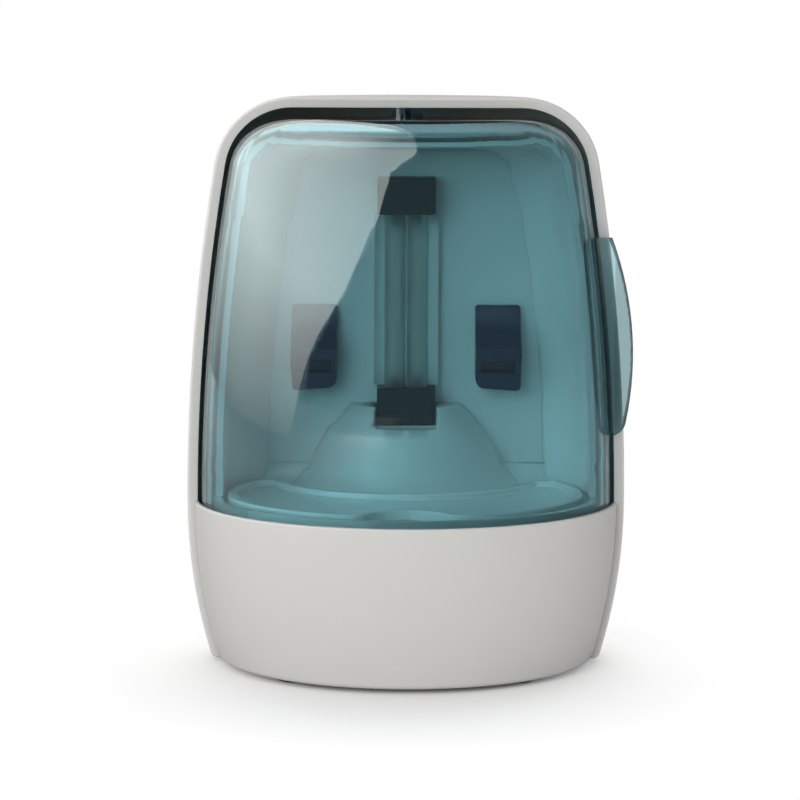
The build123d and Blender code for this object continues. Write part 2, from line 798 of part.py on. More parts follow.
button_stem_front = switch_face + button_travel + free_gap
flange_back = sqrt((side_x(button_z - button_flange, shell_wall)) ** 2 - button_flange**2) - free_gap


def make_plunger():
    back = control_back + switch_floor + button_travel + seat_gap
    return bar(0, button_z, back, button_stem_front, plunger_radius)


def make_button():
    outer = bar(0, button_z, flange_back - button_flange_thick, case_radius + 1, button_radius)
    outer &= bowl(-button_proud, plate_low, lip_height)
    flange = bar(0, button_z, flange_back - button_flange_thick, flange_back, button_flange)
    stem = bar(0, button_z, button_stem_front, flange_back, plunger_radius)
    return outer + flange + stem


def make_inlet():
    far = inlet_x + inlet_width / 2
    mouth = sqrt(side_x(button_z - inlet_height / 2, shell_wall) ** 2 - far**2) - seat_gap
    body = block((inlet_x - inlet_width / 2, far), (control_back, mouth),
                 (button_z - inlet_height / 2, button_z + inlet_height / 2))
    return body - bar(inlet_x, button_z, control_back + 1, mouth, inlet_bore)


def make_reed():
    glass = Pos(reed_x, 0, reed_z) * Rot(90, 0, 0) * Cylinder(reed_radius, reed_length)
    leads = Pos(reed_x, 0, reed_z) * Rot(90, 0, 0) * Cylinder(reed_wire, reed_length + 2 * reed_lead)
    return glass + leads


# ============================================================= fasteners


def make_base_screws():
    return group(Pos(x, y, plate_low + head_height) * screw(base_screw_length) for x, y in posts)


def make_deck_screws():
    down = Rot(180, 0, 0) * screw(deck_screw_length)
    return group(Pos(x, y, groove_floor) * down for x, y in posts)


def make_core_screws():
    return group(Pos(x, y, floor_top - deck_wall) * screw(core_screw_length)
                 for x, y in core_posts())


def make_hook_screws():
    forward = Rot(90, 0, 0) * screw(hook_screw_length)
    return group(Pos(x, wall_y + back_wall, hook_screw_z) * forward for x in (-hook_x, hook_x))


def make_cover_screw():
    return Pos(cover_screw_x, 0, plate_low + cover_thick / 2) * screw(cover_screw_length)


# ============================================================= files
pieces = {
    "back_shell": make_back_shell(),
    "base_front": make_base_front(),
    "base_plate": make_base_plate(),
    "battery_cover": make_cover(),
    "battery_cover_screw": make_cover_screw(),
    "battery_cells": make_cells(),
    "cell_contacts": make_contacts(),
    "rubber_feet": make_feet(),
    "base_screws": make_base_screws(),
    "door": make_door(),
    "door_magnet": magnet_place(),
    "chamber_liner": make_liner(),
    "core_cover": make_core_cover(),
    "deck_screws": make_deck_screws(),
    "core_screws": make_core_screws(),
    "drip_tray": make_tray(),
    "lamp_cap_lower": make_cap(cap_middles[0], 1),
    "lamp_cap_upper": make_cap(cap_middles[1], -1),
    "lamp_tubes": make_tubes(),
    "lamp_electrodes": make_electrodes(),
    "lamp_reflector": make_reflector(),
    "hook_left": make_hook(-hook_x),
    "hook_right": make_hook(hook_x),
    "hook_screws": make_hook_screws(),
    "inverter_board": make_drive_board(),
    "transformer": make_transformer(),
    "capacitors": make_capacitors(),
    "control_board": make_control_board(),
    "tact_switch": make_switch(),
    "switch_plunger": make_plunger(),
    "power_button": make_button(),
    "power_inlet": make_inlet(),
    "reed_switch": make_reed(),
}

for name, piece in pieces.items():
    piece.label = name
    export_step(piece, f"parts/{name}.step")
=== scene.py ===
"""Pacifier steriliser cabinet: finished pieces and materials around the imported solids."""
import math

import bmesh
import bpy
from mathutils import Matrix, Vector


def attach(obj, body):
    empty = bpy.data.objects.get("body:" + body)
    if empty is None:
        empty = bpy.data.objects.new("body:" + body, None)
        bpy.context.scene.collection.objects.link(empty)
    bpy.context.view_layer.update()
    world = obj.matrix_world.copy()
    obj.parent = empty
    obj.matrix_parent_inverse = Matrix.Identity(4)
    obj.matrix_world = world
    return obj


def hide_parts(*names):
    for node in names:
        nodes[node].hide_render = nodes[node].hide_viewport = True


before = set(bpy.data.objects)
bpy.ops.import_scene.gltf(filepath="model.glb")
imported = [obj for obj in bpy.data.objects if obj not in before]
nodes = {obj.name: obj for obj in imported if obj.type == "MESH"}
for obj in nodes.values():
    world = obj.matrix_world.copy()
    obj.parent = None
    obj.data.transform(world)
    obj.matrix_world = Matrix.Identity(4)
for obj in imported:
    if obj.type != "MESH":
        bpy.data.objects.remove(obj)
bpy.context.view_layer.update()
mm = 0.001

# ------------------------------------------------------------------ camera
# The camera looks at the front from a little above the middle of the case. Its focal
# length is counted in pixels of the photograph, which is 800 pixels wide.
photo_width = 800
focal_pixels = 3394
camera_place = Vector((-1.2, -664.0, 126.0)) * mm
camera_down = 6.4            # degrees below the horizon
camera_roll = 0.2            # degrees

camera_data = bpy.data.cameras.new("camera")
camera_data.sensor_width = 36.0
camera_data.lens = focal_pixels / photo_width * camera_data.sensor_width
camera = bpy.data.objects.new("camera", camera_data)
bpy.context.scene.collection.objects.link(camera)
tilt = Matrix.Rotation(math.radians(90 - camera_down), 4, "X")
roll = Matrix.Rotation(math.radians(camera_roll), 4, "Z")
camera.matrix_world = Matrix.Translation(camera_place) @ tilt @ roll
bpy.context.scene.camera = camera
bpy.context.scene.view_settings.view_transform = "Standard"


# ------------------------------------------------------------------ studio
# A white floor that runs out of view, a white surround, a soft lamp to the left, one behind
# and above, and a tall curved card of glowing cloth, whose edge shows in the door as a sweep.
def linear(code):
    """Linear colour of an sRGB hex value."""
    parts = [int(code[i:i + 2], 16) / 255 for i in (1, 3, 5)]
    return [c / 12.92 if c <= 0.04045 else ((c + 0.055) / 1.055) ** 2.4 for c in parts] + [1.0]


def add(tree, kind, links=None, **settings):
    """Adds a node. Settings name its properties or inputs, links give what its inputs take."""
    made = tree.nodes.new(kind)
    for name, value in settings.items():
        if hasattr(made, name):
            setattr(made, name, value)
        else:
            made.inputs[name.replace("_", " ")].default_value = value
    for name, source in (links or {}).items():
        if hasattr(source, "is_output"):
            tree.links.new(source, made.inputs[name])
        else:
            made.inputs[name].default_value = source
    return made


def new_material(name):
    """An empty material: itself, its tree and its output node."""
    made = bpy.data.materials.new(name)
    made.use_nodes = True
    made.node_tree.nodes.clear()
    return made, made.node_tree, made.node_tree.nodes.new("ShaderNodeOutputMaterial")


def new_object(name, mesh, *materials):
    """A linked object with the mesh, which gets the materials."""
    made = bpy.data.objects.new(name, mesh)
    bpy.context.scene.collection.objects.link(made)
    for each in materials:
        mesh.materials.append(each)
    return made


floor_reach = 4.0            # metres from its middle to its edge
floor_fade = (0.03, 0.078)   # distances over which the lit floor turns into the backdrop
floor_middle = (0.0, -0.008, 0.0)
floor_oval = (1.22, 1.0, 1.0)   # the lit part is narrower than it is deep
floor_mirrored = (0.15, 0.62)   # share of its light that shiny surfaces show, right and left
floor_left = (-0.12, -0.42)  # x over which it goes from the one to the other
mirror_loss = 0.42           # what the white background loses in each reflection


def first_look(tree, rays):
    """1 for what the camera sees straight or through something clear, and 0 for light.
    Each mirror reflection on the way takes mirror_loss off.
    """
    either = add(tree, "ShaderNodeMath", {0: rays.outputs["Is Camera Ray"],
                                          1: rays.outputs["Is Transmission Ray"]},
                 operation="MAXIMUM")
    dimmed = add(tree, "ShaderNodeMath", {0: rays.outputs["Glossy Depth"], 1: mirror_loss},
                 operation="MULTIPLY")
    lost = add(tree, "ShaderNodeMath", {0: dimmed.outputs[0], 1: rays.outputs["Diffuse Depth"]},
               operation="ADD")
    return add(tree, "ShaderNodeMath", {0: either.outputs[0], 1: lost.outputs[0]},
               operation="SUBTRACT", use_clamp=True)


floor_paint, tree, out = new_material("floor_white_paint")
rays = add(tree, "ShaderNodeLightPath")
seen = first_look(tree, rays)
spot = add(tree, "ShaderNodeTexCoord")
oval = add(tree, "ShaderNodeVectorMath", {0: spot.outputs["Object"], 1: floor_oval},
           operation="MULTIPLY")
away = add(tree, "ShaderNodeVectorMath", {0: oval.outputs[0], 1: floor_middle},
           operation="DISTANCE")
faded = add(tree, "ShaderNodeMapRange", {"Value": away.outputs["Value"], "From Min": floor_fade[0],
                                         "From Max": floor_fade[1]}, interpolation_type="LINEAR")
share = add(tree, "ShaderNodeMath", {0: seen.outputs[0], 1: faded.outputs[0]}, operation="MULTIPLY")
# Painted reflection: shiny surfaces see the floor's colour dimmed, less on the left than on the
# right.
across = add(tree, "ShaderNodeSeparateXYZ", {0: spot.outputs["Object"]})
sheen = add(tree, "ShaderNodeMapRange", {"Value": across.outputs["X"], "From Min": floor_left[0],
                                         "From Max": floor_left[1], "To Min": floor_mirrored[0],
                                         "To Max": floor_mirrored[1]})
matt = add(tree, "ShaderNodeMix", {0: rays.outputs["Is Glossy Ray"], 2: 1.0, 3: sheen.outputs[0]})
paint = add(tree, "ShaderNodeBsdfDiffuse", {"Color": matt.outputs[0]})
glow = add(tree, "ShaderNodeEmission", Strength=1.0)
both = add(tree, "ShaderNodeMixShader", {0: share.outputs[0], 1: paint.outputs[0],
                                         2: glow.outputs[0]})
tree.links.new(both.outputs[0], out.inputs["Surface"])
floor_mesh = bpy.data.meshes.new("floor")
corners = [(x * floor_reach, y * floor_reach, 0) for x, y in ((-1, -1), (1, -1), (1, 1), (-1, 1))]
floor_mesh.from_pydata(corners, [], [(0, 1, 2, 3)])
new_object("floor", floor_mesh, floor_paint)

world_seen = 1.0             # white behind the object
world_light = 0.54           # what the surround gives to matt surfaces
world_gloss = 0.06           # what shows of it in shiny ones
world = bpy.data.worlds.new("surround")
bpy.context.scene.world = world
world.use_nodes = True
tree = world.node_tree
tree.nodes.clear()
rays = add(tree, "ShaderNodeLightPath")
seen = first_look(tree, rays)
plain = add(tree, "ShaderNodeMix", {0: rays.outputs["Is Glossy Ray"], 2: world_light,
                                    3: world_gloss})
strength = add(tree, "ShaderNodeMix", {0: seen.outputs[0], 2: plain.outputs[0], 3: world_seen})
back = add(tree, "ShaderNodeBackground", {"Strength": strength.outputs[0]}, Color=linear("#FFFFFF"))
add(tree, "ShaderNodeOutputWorld", {"Surface": back.outputs[0]})


lamp_aim = Vector((0, 0, 0.05))


def soft_lamp(name, place, size, watts):
    """Round lamp aimed at the case, unseen itself."""
    data = bpy.data.lights.new(name, "AREA")
    data.shape = "DISK"
    data.size = size
    data.energy = watts
    lamp = bpy.data.objects.new(name, data)
    bpy.context.scene.collection.objects.link(lamp)
    turned = (Vector(place) - lamp_aim).to_track_quat("Z", "Y").to_matrix().to_4x4()
    lamp.matrix_world = Matrix.Translation(place) @ turned
    lamp.visible_glossy = False
    lamp.visible_camera = False
    lamp.visible_transmission = False


soft_lamp("front_lamp", place=(-0.42, -1.15, 0.36), size=0.8, watts=6.9)
soft_lamp("back_lamp", place=(0.05, 0.6, 1.0), size=0.9, watts=6.0)

# The card's lower and right edge: degrees to the left of the front, and height in mm.
card_distance = 0.9
card_edge = [(-8, 1600), (-3, 1050), (2, 750), (4.7, 603), (8, 430), (11.6, 340), (19, 280),
             (27.3, 235), (35.4, 190), (42.6, 159), (50.5, 126), (56, 95), (60.4, 62), (64.2, 20),
             (67, 1), (90, 1), (120, 1), (150, 1), (176, 1)]
card_top = 1.6
card_roof = (-0.1, 1.8)      # right and back edge of its roof
card_glow = 5.0
card_fade = (-0.07, 0.175)   # heights over which the glow grows from nothing
card_curve = 1.4             # above 1, it grows slowly at first
card_turn = (20, 65)         # degrees over which it grows towards the side
card_near = 0.64             # share of the glow where it starts
card_back = (100, 145)       # degrees over which it falls again
card_far = 0.3
card_over = 0.25             # share of the glow straight overhead

card_cloth, tree, out = new_material("card_glowing_cloth")
rays = add(tree, "ShaderNodeLightPath")
where = add(tree, "ShaderNodeTexCoord")
place = add(tree, "ShaderNodeSeparateXYZ", {0: where.outputs["Object"]})
rise = add(tree, "ShaderNodeMapRange", {"Value": place.outputs["Z"], "From Min": card_fade[0],
                                        "From Max": card_fade[1]})
rise = add(tree, "ShaderNodeMath", {0: rise.outputs[0], 1: card_curve}, operation="POWER")
left = add(tree, "ShaderNodeMath", {0: place.outputs["X"], 1: -1.0}, operation="MULTIPLY")
near = add(tree, "ShaderNodeMath", {0: place.outputs["Y"], 1: -1.0}, operation="MULTIPLY")
turn = add(tree, "ShaderNodeMath", {0: left.outputs[0], 1: near.outputs[0]}, operation="ARCTAN2")
side = add(tree, "ShaderNodeMapRange", {"Value": turn.outputs[0], "To Min": card_near,
                                        "From Min": math.radians(card_turn[0]),
                                        "From Max": math.radians(card_turn[1])})
rear = add(tree, "ShaderNodeMapRange", {"Value": turn.outputs[0], "To Min": 1.0, "To Max": card_far,
                                        "From Min": math.radians(card_back[0]),
                                        "From Max": math.radians(card_back[1])})
flat = add(tree, "ShaderNodeVectorMath", {0: where.outputs["Object"], 1: (1.0, 1.0, 0.0)},
           operation="MULTIPLY")
reach = add(tree, "ShaderNodeVectorMath", {0: flat.outputs[0]}, operation="LENGTH")
over = add(tree, "ShaderNodeMapRange", {"Value": reach.outputs["Value"], "To Min": card_over,
                                        "From Max": card_distance})
power = add(tree, "ShaderNodeMath", {0: rise.outputs[0], 1: side.outputs[0]}, operation="MULTIPLY")
power = add(tree, "ShaderNodeMath", {0: power.outputs[0], 1: rear.outputs[0]}, operation="MULTIPLY")
power = add(tree, "ShaderNodeMath", {0: power.outputs[0], 1: over.outputs[0]}, operation="MULTIPLY")
power = add(tree, "ShaderNodeMath", {0: power.outputs[0], 1: card_glow}, operation="MULTIPLY")
glow = add(tree, "ShaderNodeEmission", {"Strength": power.outputs[0]}, Color=linear("#FFFBF6"))
clear = add(tree, "ShaderNodeBsdfTransparent")
shown = add(tree, "ShaderNodeMixShader", {0: rays.outputs["Is Glossy Ray"], 1: clear.outputs[0],
                                          2: glow.outputs[0]})
tree.links.new(shown.outputs[0], out.inputs["Surface"])


def card_point(turn, height):
    """A point on the card, turn degrees to the left of the front."""
    angle = math.radians(turn)
    return (-card_distance * math.sin(angle), -card_distance * math.cos(angle), height)


card_mesh = bpy.data.meshes.new("card")
low = [card_point(turn, height * mm) for turn, height in card_edge]
high = [card_point(turn, card_top) for turn, height in card_edge]
count = len(card_edge)
roof = [(-card_roof[1], card_roof[1], card_top), (card_roof[0], card_roof[1], card_top)]
strips = [(i, i + 1, count + i + 1, count + i) for i in range(count - 1)]
cover = tuple(range(2 * count - 1, count - 1, -1)) + (2 * count + 1, 2 * count)
card_mesh.from_pydata(low + high + roof, [], strips + [cover])
new_object("card", card_mesh, card_cloth)


# ------------------------------------------------------------------ base plate and cell cover
# Injection moulded in white ABS in an eroded tool, which gives a fine satin grain with a soft,
# broad shine. The plate carries the cell bay, and the cover closes it from below.
drift_size = 30.0            # mm between the slow changes of a moulding's colour
grain_spread = 0.04          # how far the grain moves the roughness up and down
milk_depth = 2.0             # mm that light goes into a milky plastic


def moulded(name, colour, roughness, grain=0.25, rise=0.02, shade=0.03, ior=1.53, milky=0.0):
    """Moulded plastic: a slight drift of its colour, and the grain of the tool. Real grain is
    0.05 to 0.1 mm wide. It is drawn grain mm wide and rise mm high, so that it shows.
    """
    made, tree, out = new_material(name)
    where = add(tree, "ShaderNodeTexCoord").outputs["Object"]
    drift = add(tree, "ShaderNodeTexNoise", {"Vector": where}, Scale=1 / (drift_size * mm),
                Detail=2.0)
    deep = [c * (1 - shade) for c in linear(colour)[:3]] + [1.0]
    tone = add(tree, "ShaderNodeMix", {0: drift.outputs["Fac"], 6: deep, 7: linear(colour)},
               data_type="RGBA")
    fine = add(tree, "ShaderNodeTexNoise", {"Vector": where}, Scale=1 / (grain * mm), Detail=3.0)
    rough = add(tree, "ShaderNodeMapRange", {"Value": fine.outputs["Fac"],
                                             "To Min": roughness - grain_spread,
                                             "To Max": roughness + grain_spread})
    bump = add(tree, "ShaderNodeBump", {"Height": fine.outputs["Fac"]}, Strength=0.35,
               Distance=rise * mm)
    surface = add(tree, "ShaderNodeBsdfPrincipled",
                  {"Base Color": tone.outputs[2], "Roughness": rough.outputs[0],
                   "Normal": bump.outputs[0]}, IOR=ior)
    if milky:
        surface.inputs["Subsurface Weight"].default_value = milky
        surface.inputs["Subsurface Radius"].default_value = (1.0, 0.95, 0.9)
        surface.inputs["Subsurface Scale"].default_value = milk_depth * mm
    tree.links.new(surface.outputs[0], out.inputs["Surface"])
    return made


def plain_mesh(piece):
    """Turns an object's modifiers into its mesh."""
    view = bpy.context.evaluated_depsgraph_get()
    piece.data = bpy.data.meshes.new_from_object(piece.evaluated_get(view))
    piece.modifiers.clear()


weld = 0.002 * mm            # points nearer than this are one
flat_turn = 0.2              # degrees: faces that turn less than this are one


def stand_in(piece, name, body="case", sharp=40):
    """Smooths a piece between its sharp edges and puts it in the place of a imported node."""
    piece.name = name + "_finished"
    piece.data.shade_smooth()
    piece.data.set_sharp_from_angle(angle=math.radians(sharp))
    weigh = piece.modifiers.new("normals", "WEIGHTED_NORMAL")
    weigh.keep_sharp = True
    plain_mesh(piece)
    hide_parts(name)
    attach(piece, body)


def finished_copy(name, material, body="case", edge=0.0, steps=2, sharp=40):
    """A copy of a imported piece: joined, its flat faces whole, and its edges, where it turns by
    more than sharp degrees, rounded by edge mm.
    """
    mesh = nodes[name].data.copy()
    mesh.materials.clear()
    joined = bmesh.new()
    joined.from_mesh(mesh)
    bmesh.ops.remove_doubles(joined, verts=joined.verts, dist=weld)
    bmesh.ops.dissolve_limit(joined, verts=joined.verts, edges=joined.edges,
                             angle_limit=math.radians(flat_turn))
    joined.to_mesh(mesh)
    joined.free()
    piece = new_object(name, mesh, material)
    if edge:
        round_off = piece.modifiers.new("edges", "BEVEL")
        round_off.width = edge * mm
        round_off.segments = steps
        round_off.angle_limit = math.radians(sharp)
        round_off.use_clamp_overlap = False
        plain_mesh(piece)
    stand_in(piece, name, body, sharp + 10)


white_abs = moulded("satin_white_abs", "#CDCCC9", 0.42, milky=0.25)
finished_copy("base_plate", white_abs)
finished_copy("battery_cover", white_abs, edge=0.15)


# ------------------------------------------------------------------ feet
# Four discs of black rubber, pressed into the plate. Each has a ring round its tread, and the
# rubber is dull, with the fine tooth of its mould.
def new_tree(name, **inputs):
    """An empty geometry tree with named inputs: itself, its input and its output node."""
    tree = bpy.data.node_groups.new(name, "GeometryNodeTree")
    tree.interface.new_socket("Geometry", in_out="INPUT", socket_type="NodeSocketGeometry")
    for each, kind in inputs.items():
        tree.interface.new_socket(each.replace("_", " "), in_out="INPUT",
                                  socket_type="NodeSocket" + kind)
    tree.interface.new_socket("Geometry", in_out="OUTPUT", socket_type="NodeSocketGeometry")
    return tree, tree.nodes.new("NodeGroupInput"), tree.nodes.new("NodeGroupOutput")


def end_tree(tree, made, taken, out):
    """The end of each tree: instances made real, and the material set."""
    real = add(tree, "GeometryNodeRealizeInstances", {"Geometry": made})
    painted = add(tree, "GeometryNodeSetMaterial", {"Geometry": real.outputs[0],
                                                    "Material": taken.outputs["Material"]})
    tree.links.new(painted.outputs[0], out.inputs[0])


def grow(name, mesh, tree, **values):
    """Runs a tree on a mesh, and returns the plain mesh that it makes, faces outward."""
    piece = new_object(name, mesh)
    step = piece.modifiers.new("make", "NODES")
    step.node_group = tree
    for item in tree.interface.items_tree:
        if item.name.replace(" ", "_") in values:
            step[item.identifier] = values[item.name.replace(" ", "_")]
    plain_mesh(piece)
    joined = bmesh.new()
    joined.from_mesh(piece.data)
    bmesh.ops.remove_doubles(joined, verts=joined.verts, dist=weld)
    bmesh.ops.dissolve_degenerate(joined, edges=joined.edges, dist=weld / 2)
    loose = [edge for edge in joined.edges if edge.is_wire]
    bmesh.ops.delete(joined, geom=loose, context="EDGES")
    bmesh.ops.recalc_face_normals(joined, faces=joined.faces)
    joined.to_mesh(piece.data)
    joined.free()
    piece.data.materials.clear()
    piece.data.materials.append(values["Material"])
    return piece


# Turned pieces: the mesh gives the outline as radius and height, in order. Each copy of it
# stands one step further round, from Start to End, and Cut is the depth of a flat face that
# the turn stops at.
turned, taken, out = new_tree("turned_piece", Steps="Int", Start="Float", End="Float", Cut="Float",
                              Material="Material")
outline = add(turned, "GeometryNodeAttributeDomainSize", {"Geometry": taken.outputs["Geometry"]})
columns = add(turned, "ShaderNodeMath", {0: taken.outputs["Steps"], 1: 1.0}, operation="ADD")
grid = add(turned, "GeometryNodeMeshGrid", {"Vertices X": columns.outputs[0],
                                            "Vertices Y": outline.outputs["Point Count"]})
number = add(turned, "GeometryNodeInputIndex")
row = add(turned, "ShaderNodeMath", {0: number.outputs[0], 1: outline.outputs["Point Count"]},
          operation="MODULO")
past = add(turned, "ShaderNodeMath", {0: number.outputs[0], 1: 0.5}, operation="ADD")
past = add(turned, "ShaderNodeMath", {0: past.outputs[0], 1: outline.outputs["Point Count"]},
           operation="DIVIDE")
column = add(turned, "ShaderNodeMath", {0: past.outputs[0]}, operation="FLOOR")
share = add(turned, "ShaderNodeMath", {0: column.outputs[0], 1: taken.outputs["Steps"]},
            operation="DIVIDE")
place = add(turned, "GeometryNodeInputPosition")
sample = add(turned, "GeometryNodeSampleIndex", {"Geometry": taken.outputs["Geometry"],
                                                 "Value": place.outputs[0],
                                                 "Index": row.outputs[0]},
             data_type="FLOAT_VECTOR")
radius = add(turned, "ShaderNodeSeparateXYZ", {0: sample.outputs[0]})
radius = add(turned, "ShaderNodeMath", {0: radius.outputs["X"], 1: 0.001 * mm}, operation="MAXIMUM")
ratio = add(turned, "ShaderNodeMath", {0: taken.outputs["Cut"], 1: radius.outputs[0]},
            operation="DIVIDE")
ratio = add(turned, "ShaderNodeClamp", {"Value": ratio.outputs[0]}, Min=-1.0, Max=1.0)
slip = add(turned, "ShaderNodeMath", {0: ratio.outputs[0]}, operation="ARCSINE")
first = add(turned, "ShaderNodeMath", {0: taken.outputs["Start"], 1: slip.outputs[0]},
            operation="ADD")
last = add(turned, "ShaderNodeMath", {0: taken.outputs["End"], 1: slip.outputs[0]},
           operation="SUBTRACT")
angle = add(turned, "ShaderNodeMapRange", {"Value": share.outputs[0], "To Min": first.outputs[0],
                                           "To Max": last.outputs[0]})
swung = add(turned, "ShaderNodeVectorRotate", {"Vector": sample.outputs[0],
                                               "Angle": angle.outputs[0]}, rotation_type="Z_AXIS")
laid = add(turned, "GeometryNodeSetPosition", {"Geometry": grid.outputs[0],
                                               "Position": swung.outputs[0]})
joined = add(turned, "GeometryNodeMergeByDistance", {"Geometry": laid.outputs[0]},
             Distance=weld)
end_tree(turned, joined.outputs[0], taken, out)


def turn_outline(name, outline, material, steps=48, start=0.0, end=2 * math.pi, cut=0.0):
    """Turns an outline, given in mm as radius and height, about the upright axis."""
    mesh = bpy.data.meshes.new(name)
    mesh.from_pydata([(r * mm, 0, z * mm) for r, z in outline], [], [])
    return grow(name, mesh, turned, Steps=steps, Start=start, End=end, Cut=cut * mm,
                Material=material)


def set_out(piece, places):
    """Repeats a piece's mesh at each place, which is a matrix in mm, and joins the copies."""
    whole = bmesh.new()
    for each in places:
        copy = piece.data.copy()
        spot = each.copy()
        spot.translation = spot.translation * mm
        copy.transform(spot)
        whole.from_mesh(copy)
        bpy.data.meshes.remove(copy)
    whole.to_mesh(piece.data)
    whole.free()
    return piece


def at(x, y, z, turn=0, axis="X"):
    """A place in mm, turned by degrees about one axis."""
    return Matrix.Translation((x, y, z)) @ Matrix.Rotation(math.radians(turn), 4, axis)


foot_outline = [(0, 0.25), (2.3, 0.25), (2.5, 0.1), (2.7, 0), (3.5, 0), (3.85, 0.15), (4, 0.5),
                (4, 1.7), (0, 1.7)]
foot_places = [(x, y) for x in (-20.81, 20.82) for y in (-22.15, 22.15)]
foot_rubber = moulded("moulded_black_rubber", "#262729", 0.7, grain=0.15)
feet = turn_outline("feet", foot_outline, foot_rubber)
stand_in(set_out(feet, [at(x, y, 0) for x, y in foot_places]), "rubber_feet")

# ------------------------------------------------------------------ cells
# Three AAA cells lie side by side, each the other way round from the next. Their steel cans
# wear a glossy shrunk sleeve, and the bare ends show a crimped ring and the plus nub.
cell_z = 8.2
cell_pitch = 10.9
cell_end = 22.25             # x of the flat end of each
sleeve_edge = 4.8            # radius to which the sleeve folds over the ends
cell_outline = [(0, 0.3), (3.4, 0.3), (3.7, 0.05), (4.6, 0), (5.0, 0.1), (5.2, 0.3), (5.25, 0.7),
                (5.25, 43.8), (5.2, 44.2), (5.0, 44.4), (4.6, 44.5), (4.2, 44.45), (4.0, 44.2),
                (2.3, 44.15), (1.95, 44.3), (1.9, 44.95), (1.75, 45.1), (0, 45.1)]
sleeve_film = moulded("shrunk_sleeve_film", "#23343C", 0.22, grain=1.5, rise=0.01)


mark_spread = 0.07           # how far the marks of its making move a metal's roughness


def metal(name, colour, roughness, grain=0.6, stretch=(1, 1, 1), rise=0.0, oxide=0.0):
    """Metal: its roughness varies along the marks of its making, which are drawn grain mm
    apart so that they show. A milky oxide skin scatters a share of the light.
    """
    made, tree, out = new_material(name)
    where = add(tree, "ShaderNodeTexCoord").outputs["Object"]
    drawn = add(tree, "ShaderNodeMapping", {"Vector": where, "Scale": stretch})
    fine = add(tree, "ShaderNodeTexNoise", {"Vector": drawn.outputs[0]}, Scale=1 / (grain * mm),
               Detail=3.0)
    rough = add(tree, "ShaderNodeMapRange", {"Value": fine.outputs["Fac"],
                                             "To Min": roughness - mark_spread,
                                             "To Max": roughness + mark_spread})
    bump = add(tree, "ShaderNodeBump", {"Height": fine.outputs["Fac"]}, Strength=0.3,
               Distance=rise * mm)
    surface = add(tree, "ShaderNodeBsdfPrincipled", {"Roughness": rough.outputs[0],
                                                     "Normal": bump.outputs[0]},
                  Base_Color=linear(colour), Metallic=1.0 - oxide)
    tree.links.new(surface.outputs[0], out.inputs["Surface"])
    return made


nickel_steel = metal("nickel_plated_steel", "#C9C7C2", 0.25, rise=0.005)
cells = turn_outline("cells", cell_outline, sleeve_film)
cells.data.materials.append(nickel_steel)
for face in cells.data.polygons:
    bare = math.hypot(face.center.x, face.center.y) < sleeve_edge * mm
    face.material_index = 1 if bare else 0
cell_ways = [at(cell_end, -cell_pitch, cell_z, -90, "Y"), at(-cell_end, 0, cell_z, 90, "Y"),
             at(cell_end, cell_pitch, cell_z, -90, "Y")]
stand_in(set_out(cells, cell_ways), "battery_cells")

# ------------------------------------------------------------------ contacts
# Six plates of spring steel, whose nickel plating has a warm, fairly sharp shine. Each plus
# plate has a dimple, and each minus plate carries a coned spring of round wire. All are
# pushed into slots at the ends of the bay.
coil, taken, out = new_tree("coil_of_wire", Turns="Float", Start_Radius="Float",
                            End_Radius="Float", Height="Float", Wire="Float", Material="Material")
line = add(coil, "GeometryNodeCurveSpiral",
           {"Rotations": taken.outputs["Turns"], "Start Radius": taken.outputs["Start Radius"],
            "End Radius": taken.outputs["End Radius"], "Height": taken.outputs["Height"]},
           Resolution=24)
ring = add(coil, "GeometryNodeCurvePrimitiveCircle", {"Radius": taken.outputs["Wire"]},
           Resolution=10)
wire = add(coil, "GeometryNodeCurveToMesh", {"Curve": line.outputs[0],
                                             "Profile Curve": ring.outputs[0]}, Fill_Caps=True)
way = add(coil, "GeometryNodeInputNamedAttribute", Name="way", data_type="FLOAT_VECTOR")
copies = add(coil, "GeometryNodeInstanceOnPoints",
             {"Points": taken.outputs["Geometry"], "Instance": wire.outputs[0],
              "Rotation": way.outputs[0]})
end_tree(coil, copies.outputs[0], taken, out)


def stations(name, places):
    """Points for a tree to put copies on, each a place in mm and a turn in degrees."""
    mesh = bpy.data.meshes.new(name)
    mesh.from_pydata([Vector(place) * mm for place, way in places], [], [])
    ways = mesh.attributes.new("way", "FLOAT_VECTOR", "POINT")
    for each, (place, way) in zip(ways.data, places):
        each.vector = [math.radians(angle) for angle in way]
    return mesh


def join(first, *others):
    """Adds other pieces' meshes to the first, and deletes them."""
    whole = bmesh.new()
    for each in (first, *others):
        whole.from_mesh(each.data)
    whole.to_mesh(first.data)
    whole.free()
    for each in others:
        bpy.data.objects.remove(each)
    return first


plate_x = 24.65              # outer faces of the plates
plate_sheet = 0.4
plate_size = (7.0, 8.0)
spring_x = 23.95
dimple_outline = [(0, 1.25), (0.7, 1.2), (1.2, 0.95), (1.45, 0.5), (1.5, 0), (0, 0)]
minus_ends = [((spring_x, -cell_pitch, cell_z), (0, -90, 0)), ((-spring_x, 0, cell_z), (0, 90, 0)),
              ((spring_x, cell_pitch, cell_z), (0, -90, 0))]
dimple_x = plate_x - plate_sheet
plus_ends = [(-dimple_x, -cell_pitch, 90), (dimple_x, 0, -90), (-dimple_x, cell_pitch, 90)]
springs = grow("springs", stations("spring_places", minus_ends), coil, Turns=2.25,
               Start_Radius=2.3 * mm, End_Radius=1.2 * mm, Height=1.25 * mm, Wire=0.3 * mm,
               Material=nickel_steel)
dimples = turn_outline("dimples", dimple_outline, nickel_steel, 24)
set_out(dimples, [at(x, y, cell_z, way, "Y") for x, y, way in plus_ends])
sheets = bmesh.new()
